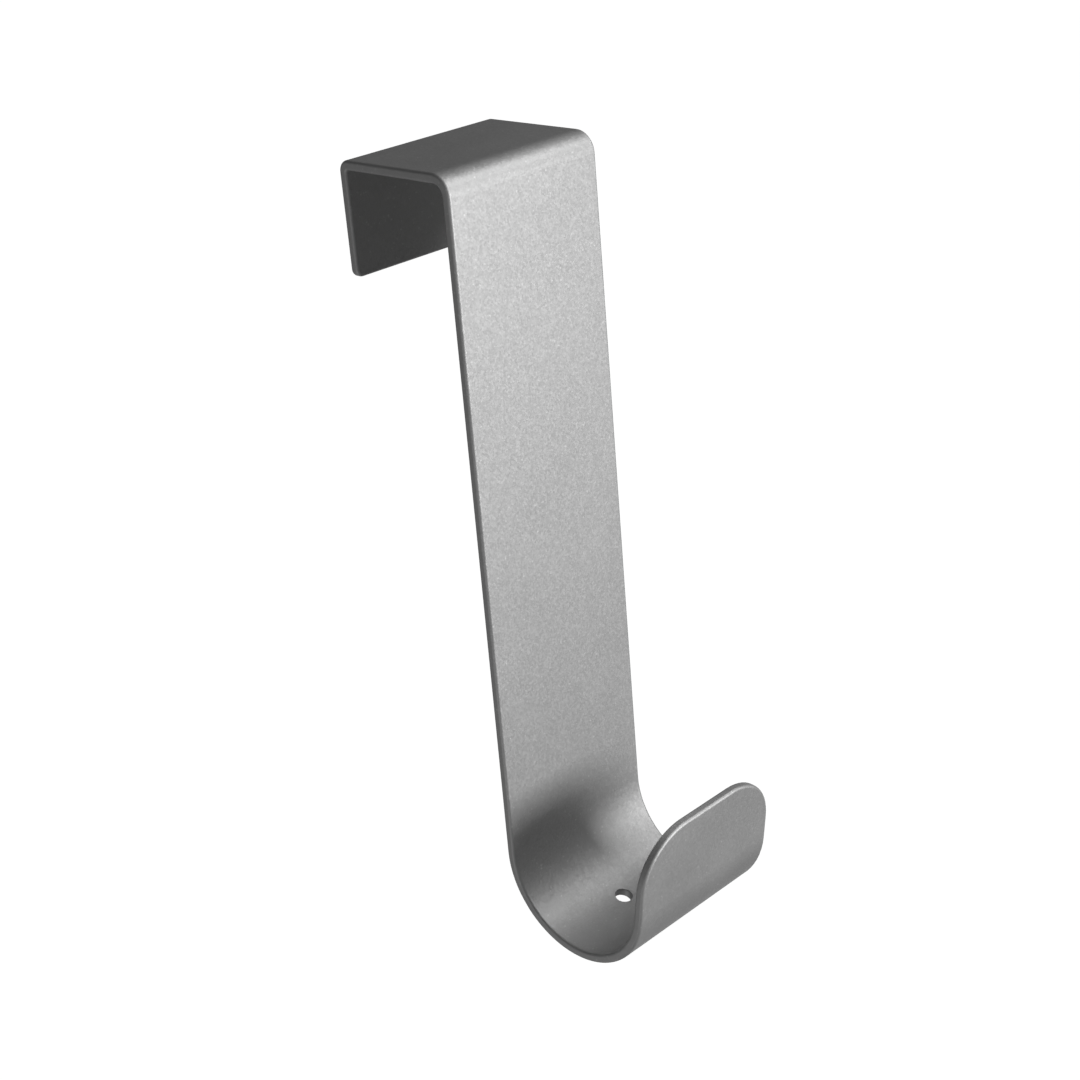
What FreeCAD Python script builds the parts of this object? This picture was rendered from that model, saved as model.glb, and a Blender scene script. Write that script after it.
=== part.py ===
import FreeCAD, Part
import math
import os

from FreeCAD import Vector

# Over door hook: one strip of sheet steel, bent into a tab, a bridge, a shank, a cradle and a lip.
# Frame: +Z is up, -Y is the side that the cradle is on, X runs across the strip. The origin is where the hook sits
# on the door: on the bridge's underside, halfway across the gap and halfway along the width.

# Sheet, in millimetres
strip_width = 30.0
sheet_thickness = 1.5

# Saddle that grips the top of the door
door_gap = 19.7
tab_depth = 16.0
rear_bend_radius = 0.3
front_bend_radius = 1.8

# Cradle and lip that carry the load
hang_depth = 119.4
cradle_radius = 12.5
lip_length = 13.6
lip_flare = 8.0

# Corners, edges and the small hole in the cradle
tab_corner_radius = 1.2
lip_corner_radius = 9.5
edge_round = 0.45
hole_diameter = 2.8
hole_angle = 17.0
hole_round = 0.15

# Sizes that follow from the ones above
half_gap = door_gap / 2
cradle_centre_y = -half_gap - sheet_thickness - cradle_radius
cradle_centre_z = cradle_radius - hang_depth
lip_turn = 180.0 - lip_flare

# Two directions count as one below this angle in degrees, and two places below this distance in millimetres
same_direction = 1.0
same_place = 0.01


def polar(centre_y, centre_z, radius, angle):
    """Point in the side view at an angle in degrees, counted from +Y towards +Z."""
    turn = math.radians(angle)
    return Vector(0, centre_y + radius * math.cos(turn), centre_z + radius * math.sin(turn))


def bend(centre_y, centre_z, radius, start, end):
    """Arc in the side view, with its two ends as points."""
    first = polar(centre_y, centre_z, radius, start)
    middle = polar(centre_y, centre_z, radius, (start + end) / 2)
    last = polar(centre_y, centre_z, radius, end)
    return first, Part.Arc(first, middle, last).toShape(), last


def strip_end(depth):
    """Ends of the strip in the side view, at a depth into the sheet from the face that touches the door."""
    tab_end = Vector(0, half_gap + depth, -tab_depth)
    radius = cradle_radius + sheet_thickness - depth
    lip_start = polar(cradle_centre_y, cradle_centre_z, radius, -lip_turn)
    flare = math.radians(lip_flare)
    lip_end = lip_start + Vector(0, -math.sin(flare), math.cos(flare)) * lip_length
    return tab_end, lip_end


def strip_side(depth):
    """Edges of one face of the strip in the side view, from the tab's end to the lip's end."""
    tab_end, lip_end = strip_end(depth)
    rear_a, rear_bend, rear_b = bend(
        half_gap - rear_bend_radius, -rear_bend_radius, rear_bend_radius + depth, 0, 90)
    front_a, front_bend, front_b = bend(
        front_bend_radius - half_gap, -front_bend_radius, front_bend_radius + depth, 90, 180)
    cradle_a, cradle_bend, cradle_b = bend(
        cradle_centre_y, cradle_centre_z, cradle_radius + sheet_thickness - depth, 0, -lip_turn)
    return [
        Part.LineSegment(tab_end, rear_a).toShape(),
        rear_bend,
        Part.LineSegment(rear_b, front_a).toShape(),
        front_bend,
        Part.LineSegment(front_b, cradle_a).toShape(),
        cradle_bend,
        Part.LineSegment(cradle_b, lip_end).toShape(),
    ]


def bent_strip():
    """Strip with square ends: its side view drawn out over the whole width."""
    tab_inner, lip_outer = strip_end(0)
    tab_outer, lip_inner = strip_end(sheet_thickness)
    edges = strip_side(0) + strip_side(sheet_thickness)
    edges.append(Part.LineSegment(tab_inner, tab_outer).toShape())
    edges.append(Part.LineSegment(lip_outer, lip_inner).toShape())
    outline = Part.Wire(Part.__sortEdges__(edges))
    outline.translate(Vector(-strip_width / 2, 0, 0))
    return Part.Face(outline).extrude(Vector(strip_width, 0, 0))


def corner_edges(strip, inner, outer):
    """The two short edges through the sheet at one end of the strip."""
    middle = (inner + outer) / 2
    found = []
    for edge in strip.Edges:
        centre = edge.CenterOfMass
        across = math.hypot(centre.y - middle.y, centre.z - middle.z)
        if across < same_place and abs(edge.Length - sheet_thickness) < same_place:
            found.append(edge)
    return found


def round_corners(strip):
    """Rounds the tab's two bottom corners and the lip's two top corners."""
    tab_inner, lip_outer = strip_end(0)
    tab_outer, lip_inner = strip_end(sheet_thickness)
    strip = strip.makeFillet(tab_corner_radius, corner_edges(strip, tab_inner, tab_outer))
    return strip.makeFillet(lip_corner_radius, corner_edges(strip, lip_inner, lip_outer))


def cradle_hole():
    """Cylinder for the small round hole, square to the sheet, set back from the cradle's lowest line."""
    angle = hole_angle - 90
    inside = polar(cradle_centre_y, cradle_centre_z, cradle_radius - sheet_thickness, angle)
    outside = polar(cradle_centre_y, cradle_centre_z, cradle_radius + 2 * sheet_thickness, angle)
    along = outside - inside
    return Part.makeCylinder(hole_diameter / 2, along.Length, inside, along)


def sharp_edges(strip):
    """Edges where two faces meet at an angle, which leaves out the lines where a bend runs into a flat."""
    found = []
    for edge in strip.Edges:
        faces = strip.ancestorsOfType(edge, Part.Face)
        if len(faces) != 2:
            continue
        point = edge.valueAt((edge.FirstParameter + edge.LastParameter) / 2)
        normals = [face.normalAt(*face.Surface.parameter(point)) for face in faces]
        if math.degrees(normals[0].getAngle(normals[1])) > same_direction:
            found.append(edge)
    return found


def hook_strip():
    """The whole hook, with every edge softened as the paint leaves it."""
    strip = round_corners(bent_strip())
    strip = strip.makeFillet(edge_round, sharp_edges(strip)).cut(cradle_hole())
    return strip.makeFillet(hole_round, sharp_edges(strip))


os.makedirs("parts", exist_ok=True)
hook_strip().exportStep("parts/hook_strip.step")
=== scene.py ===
import math

import bpy
from mathutils import Matrix, Vector

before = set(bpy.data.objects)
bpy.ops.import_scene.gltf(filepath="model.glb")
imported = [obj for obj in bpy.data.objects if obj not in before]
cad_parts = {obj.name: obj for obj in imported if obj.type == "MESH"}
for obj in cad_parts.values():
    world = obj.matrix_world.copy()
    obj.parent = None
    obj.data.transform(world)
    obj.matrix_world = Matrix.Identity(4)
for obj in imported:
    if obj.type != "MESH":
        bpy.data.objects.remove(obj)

# Over door hook: one bent steel strip with a silver-grey metallic powder coat.
# Metres, +Z up, -Y the side that the cradle is on, as in the CAD source.

# Camera: angles in degrees, seen from the front left and above, with the picture turned slightly
camera_azimuth = -44.37
camera_elevation = 23.21
camera_roll = -4.97
camera_distance = 0.31146
camera_target = Vector((0.0, -0.00799, -0.05907))
camera_lens = 67.43
camera_clip = 0.01
sensor_width = 36.0

# Floor, well below the hanging hook: pale paper, which looks paler by the floor glow where it is
# seen directly
floor_height = -1.2
floor_radius = 30.0
floor_sides = 96
floor_tone = 0.8
floor_glow = 0.16

# Sector of the floor behind the hook, as its camera sees it, that shows plain white: a painted pool of
# light that the camera, reflections and clear glass see. It is measured from a point in front of the
# hook, along the camera's level direction and to its side: setback of that point, start of the sector,
# its half width per metre, and the share over which both fade
# Glow of the painted pool of light
painted_pool_glow = 0.95
zone_ahead = Vector((0.6993, 0.7148, 0.0))
zone_setback = 0.7
zone_start = 1.36
zone_slope = 0.30
zone_fade = 0.3

# Surroundings: as pale as the floor at the horizon, darker above. The height is the sine of the
# angle over the horizon at which the darkest tone is reached
horizon_tone = 0.25
sky_tone = 0.09
sky_height = 0.40

# Soft boxes: direction from the hook in degrees, distance, width, height and power in watts
lit_point = Vector((0.0, -0.015, -0.06))
key_box = (-75.9, 4.2, 0.397, 0.218, 0.100, 1.68)
upper_box = (-48.1, 48.8, 0.350, 0.100, 0.103, 0.60)
low_box = (173.0, -30.0, 0.427, 0.100, 0.428, 0.23)

# Powder coat: colour and gloss
paint_grey = 0.37
paint_metallic = 0.85
paint_roughness = 0.60

# Metallic flakes: cells per metre, how far they lean as a share of their normal, and the few that
# get a painted glint, a lighter colour standing in for sparkle
flake_density = 3400.0
flake_lean = 0.105
# painted glint: a few flake cells get a lighter colour
painted_glint_density = 4200.0
painted_glint_share = 0.02
painted_glint_gain = 0.25

# Unevenness of the coat: noise scales per metre, their detail, the share of the colour or roughness,
# and the height of the orange peel in metres
grain_density = 4200.0
grain_detail = 1.0
grain_share = 0.05
cloud_density = 70.0
cloud_detail = 3.0
cloud_share = 0.05
gloss_density = 140.0
gloss_detail = 2.0
gloss_share = 0.06
peel_density = 800.0
peel_detail = 1.0
peel_height = 0.000006


def grey(tone):
    """Neutral colour of one tone."""
    return (tone, tone, tone, 1.0)


def add_camera():
    """Camera at the photograph's viewing angle, with its roll."""
    azimuth = math.radians(camera_azimuth)
    elevation = math.radians(camera_elevation)
    roll = math.radians(camera_roll)
    back = Vector((
        math.sin(azimuth) * math.cos(elevation),
        -math.cos(azimuth) * math.cos(elevation),
        math.sin(elevation)))
    level_right = Vector((math.cos(azimuth), math.sin(azimuth), 0.0))
    level_up = back.cross(level_right)
    right = level_right * math.cos(roll) + level_up * math.sin(roll)
    up = level_up * math.cos(roll) - level_right * math.sin(roll)
    data = bpy.data.cameras.new("camera")
    data.lens = camera_lens
    data.sensor_width = sensor_width
    data.clip_start = camera_clip
    camera = bpy.data.objects.new("camera", data)
    turn = Matrix((right, up, back)).transposed().to_4x4()
    camera.matrix_world = Matrix.Translation(camera_target + back * camera_distance) @ turn
    bpy.context.scene.collection.objects.link(camera)
    bpy.context.scene.camera = camera


def add_soft_box(name, box):
    """Rectangular soft box that faces the middle of the hook."""
    azimuth, elevation, distance, width, height, power = box
    level = math.cos(math.radians(elevation))
    direction = Vector((
        math.cos(math.radians(azimuth)) * level,
        math.sin(math.radians(azimuth)) * level,
        math.sin(math.radians(elevation))))
    data = bpy.data.lights.new(name, "AREA")
    data.shape = "RECTANGLE"
    data.size = width
    data.size_y = height
    data.energy = power
    lamp = bpy.data.objects.new(name, data)
    lamp.location = lit_point + direction * distance
    lamp.rotation_euler = direction.to_track_quat("Z", "Y").to_euler()
    lamp.visible_camera = False
    bpy.context.scene.collection.objects.link(lamp)


def product(tree, first, second):
    """Product of two values."""
    node = tree.nodes.new("ShaderNodeMath")
    node.operation = "MULTIPLY"
    tree.links.new(first, node.inputs[0])
    tree.links.new(second, node.inputs[1])
    return node.outputs[0]


def seen_directly(tree):
    """Node value that is 1 for rays from the camera, a reflection or clear glass, and 0 for the rest."""
    path = tree.nodes.new("ShaderNodeLightPath")
    first = tree.nodes.new("ShaderNodeMath")
    first.operation = "MAXIMUM"
    second = tree.nodes.new("ShaderNodeMath")
    second.operation = "MAXIMUM"
    tree.links.new(path.outputs["Is Camera Ray"], first.inputs[0])
    tree.links.new(path.outputs["Is Glossy Ray"], first.inputs[1])
    tree.links.new(first.outputs[0], second.inputs[0])
    tree.links.new(path.outputs["Is Transmission Ray"], second.inputs[1])
    return second.outputs[0]


def measure(tree, direction):
    """Distance of a place on the floor along one direction."""
    place = tree.nodes.new("ShaderNodeNewGeometry")
    length = tree.nodes.new("ShaderNodeVectorMath")
    length.operation = "DOT_PRODUCT"
    length.inputs[1].default_value = direction
    tree.links.new(place.outputs["Position"], length.inputs[0])
    return length.outputs["Value"]


def step(tree, value, start, end):
    """Node value that goes smoothly from 0 at the start to 1 at the end."""
    ramp = tree.nodes.new("ShaderNodeMapRange")
    ramp.interpolation_type = "SMOOTHERSTEP"
    ramp.inputs["From Min"].default_value = start
    ramp.inputs["From Max"].default_value = end
    tree.links.new(value, ramp.inputs["Value"])
    return ramp.outputs["Result"]


def painted_light_pool(tree):
    """Node value that is 1 in the floor's painted pool of light and fades to 0 at its sides and start.
    """
    along = tree.nodes.new("ShaderNodeMath")
    along.inputs[1].default_value = zone_setback
    tree.links.new(measure(tree, zone_ahead), along.inputs[0])
    across = tree.nodes.new("ShaderNodeMath")
    across.operation = "ABSOLUTE"
    tree.links.new(measure(tree, zone_ahead.cross(Vector((0.0, 0.0, 1.0)))), across.inputs[0])
    slope = tree.nodes.new("ShaderNodeMath")
    slope.operation = "DIVIDE"
    tree.links.new(across.outputs[0], slope.inputs[0])
    tree.links.new(along.outputs[0], slope.inputs[1])
    sides = step(tree, slope.outputs[0], zone_slope * (1 + zone_fade), zone_slope)
    start = step(tree, along.outputs[0], zone_start, zone_start * (1 + zone_fade))
    return product(tree, sides, start)


def floor_material():
    """Pale paper, with a glow that the camera, reflections and clear glass see, and a painted pool of
    white light in its sector.
    """
    material = bpy.data.materials.new("pale_floor_painted_pool")
    material.use_nodes = True
    material.cycles.emission_sampling = "NONE"
    tree = material.node_tree
    tree.nodes.clear()
    paper = tree.nodes.new("ShaderNodeBsdfDiffuse")
    paper.inputs["Color"].default_value = grey(floor_tone)
    tone = tree.nodes.new("ShaderNodeMapRange")
    tone.inputs["To Min"].default_value = floor_glow
    tone.inputs["To Max"].default_value = painted_pool_glow
    glow = tree.nodes.new("ShaderNodeEmission")
    total = tree.nodes.new("ShaderNodeAddShader")
    output = tree.nodes.new("ShaderNodeOutputMaterial")
    # painted pool of light: the glow rises to white in the floor's sector behind the hook
    tree.links.new(painted_light_pool(tree), tone.inputs["Value"])
    tree.links.new(product(tree, seen_directly(tree), tone.outputs["Result"]), glow.inputs["Strength"])
    tree.links.new(paper.outputs[0], total.inputs[0])
    tree.links.new(glow.outputs[0], total.inputs[1])
    tree.links.new(total.outputs[0], output.inputs["Surface"])
    return material


def add_floor():
    """Round floor, far enough below for the hook to hang clear of it."""
    bpy.ops.mesh.primitive_circle_add(
        vertices=floor_sides, radius=floor_radius, fill_type="NGON", location=(0.0, 0.0, floor_height))
    floor = bpy.context.active_object
    floor.name = "floor"
    floor.data.materials.append(floor_material())


def set_world():
    """Plain grey surroundings, which darken smoothly from the horizon upwards."""
    world = bpy.data.worlds.new("surroundings")
    world.use_nodes = True
    tree = world.node_tree
    direction = tree.nodes.new("ShaderNodeTexCoord")
    parts = tree.nodes.new("ShaderNodeSeparateXYZ")
    tree.links.new(direction.outputs["Generated"], parts.inputs[0])
    rise = step(tree, parts.outputs["Z"], 0.0, sky_height)
    tone = tree.nodes.new("ShaderNodeMapRange")
    tone.inputs["To Min"].default_value = horizon_tone
    tone.inputs["To Max"].default_value = sky_tone
    tree.links.new(rise, tone.inputs["Value"])
    background = tree.nodes["Background"]
    background.inputs["Color"].default_value = grey(1.0)
    tree.links.new(tone.outputs["Result"], background.inputs["Strength"])
    bpy.context.scene.world = world


def noise(tree, place, density, detail):
    """Noise texture on the hook's own coordinates, as a value around 0.5."""
    texture = tree.nodes.new("ShaderNodeTexNoise")
    texture.inputs["Scale"].default_value = density
    texture.inputs["Detail"].default_value = detail
    tree.links.new(place, texture.inputs["Vector"])
    return texture.outputs["Fac"]


def spread(tree, value, share):
    """Turns a value between 0 and 1 into a factor around 1 that strays by a share to either side."""
    stretch = tree.nodes.new("ShaderNodeMapRange")
    stretch.inputs["To Min"].default_value = 1.0 - share
    stretch.inputs["To Max"].default_value = 1.0 + share
    tree.links.new(value, stretch.inputs["Value"])
    return stretch.outputs["Result"]


def cells(tree, place, density):
    """Voronoi cells on the hook's own coordinates, one random colour each."""
    texture = tree.nodes.new("ShaderNodeTexVoronoi")
    texture.inputs["Scale"].default_value = density
    tree.links.new(place, texture.inputs["Vector"])
    return texture.outputs["Color"]


def painted_glint(tree, place):
    """Factor that lifts the colour of a few scattered flakes: a painted glint."""
    split = tree.nodes.new("ShaderNodeSeparateColor")
    tree.links.new(cells(tree, place, painted_glint_density), split.inputs[0])
    lift = tree.nodes.new("ShaderNodeMapRange")
    lift.inputs["From Min"].default_value = 1.0 - painted_glint_share
    lift.inputs["From Max"].default_value = 1.0
    lift.inputs["To Min"].default_value = 1.0
    lift.inputs["To Max"].default_value = 1.0 + painted_glint_gain
    tree.links.new(split.outputs[0], lift.inputs["Value"])
    return lift.outputs["Result"]


def coat_colour(tree, place):
    """Grey of the coat, with its fine grain, a faint cloudiness and a painted glint on a few flakes."""
    grain = spread(tree, noise(tree, place, grain_density, grain_detail), grain_share)
    cloud = spread(tree, noise(tree, place, cloud_density, cloud_detail), cloud_share)
    # painted glint: the lighter colour of a few flakes multiplies the coat grey
    factor = product(tree, product(tree, grain, cloud), painted_glint(tree, place))
    tint = tree.nodes.new("ShaderNodeVectorMath")
    tint.operation = "SCALE"
    tint.inputs[0].default_value = (paint_grey, paint_grey, paint_grey)
    tree.links.new(factor, tint.inputs["Scale"])
    return tint.outputs["Vector"]


def coat_roughness(tree, place):
    """Roughness of the coat, a little uneven from place to place."""
    uneven = spread(tree, noise(tree, place, gloss_density, gloss_detail), gloss_share)
    level = tree.nodes.new("ShaderNodeMath")
    level.operation = "MULTIPLY"
    level.inputs[1].default_value = paint_roughness
    tree.links.new(uneven, level.inputs[0])
    return level.outputs[0]


def flake_normal(tree, place):
    """Surface normal that leans another way in each flake."""
    centred = tree.nodes.new("ShaderNodeVectorMath")
    centred.operation = "SUBTRACT"
    centred.inputs[1].default_value = (0.5, 0.5, 0.5)
    lean = tree.nodes.new("ShaderNodeVectorMath")
    lean.operation = "SCALE"
    lean.inputs["Scale"].default_value = flake_lean
    surface = tree.nodes.new("ShaderNodeNewGeometry")
    total = tree.nodes.new("ShaderNodeVectorMath")
    total.operation = "ADD"
    unit = tree.nodes.new("ShaderNodeVectorMath")
    unit.operation = "NORMALIZE"
    tree.links.new(cells(tree, place, flake_density), centred.inputs[0])
    tree.links.new(centred.outputs["Vector"], lean.inputs[0])
    tree.links.new(surface.outputs["Normal"], total.inputs[0])
    tree.links.new(lean.outputs["Vector"], total.inputs[1])
    tree.links.new(total.outputs["Vector"], unit.inputs[0])
    return unit.outputs["Vector"]


def coat_normal(tree, place):
    """Flakes on top of the coat's slight orange peel."""
    bump = tree.nodes.new("ShaderNodeBump")
    bump.inputs["Distance"].default_value = peel_height
    tree.links.new(noise(tree, place, peel_density, peel_detail), bump.inputs["Height"])
    tree.links.new(flake_normal(tree, place), bump.inputs["Normal"])
    return bump.outputs["Normal"]


def paint_material():
    """Satin metallic powder coat."""
    material = bpy.data.materials.new("silver_powder_coat")
    material.use_nodes = True
    tree = material.node_tree
    place = tree.nodes.new("ShaderNodeTexCoord").outputs["Object"]
    shader = tree.nodes["Principled BSDF"]
    shader.inputs["Metallic"].default_value = paint_metallic
    tree.links.new(coat_colour(tree, place), shader.inputs["Base Color"])
    tree.links.new(coat_roughness(tree, place), shader.inputs["Roughness"])
    tree.links.new(coat_normal(tree, place), shader.inputs["Normal"])
    return material


def paint(node, material):
    """Gives every material slot of a CAD node one material."""
    mesh = node.data
    if not mesh.materials:
        mesh.materials.append(material)
    for slot in node.material_slots:
        slot.material = material


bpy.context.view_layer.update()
bpy.context.scene.view_settings.view_transform = "Standard"
add_camera()
add_floor()
set_world()
add_soft_box("key_box", key_box)
add_soft_box("upper_box", upper_box)
add_soft_box("low_box", low_box)
paint(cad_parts["hook_strip"], paint_material())
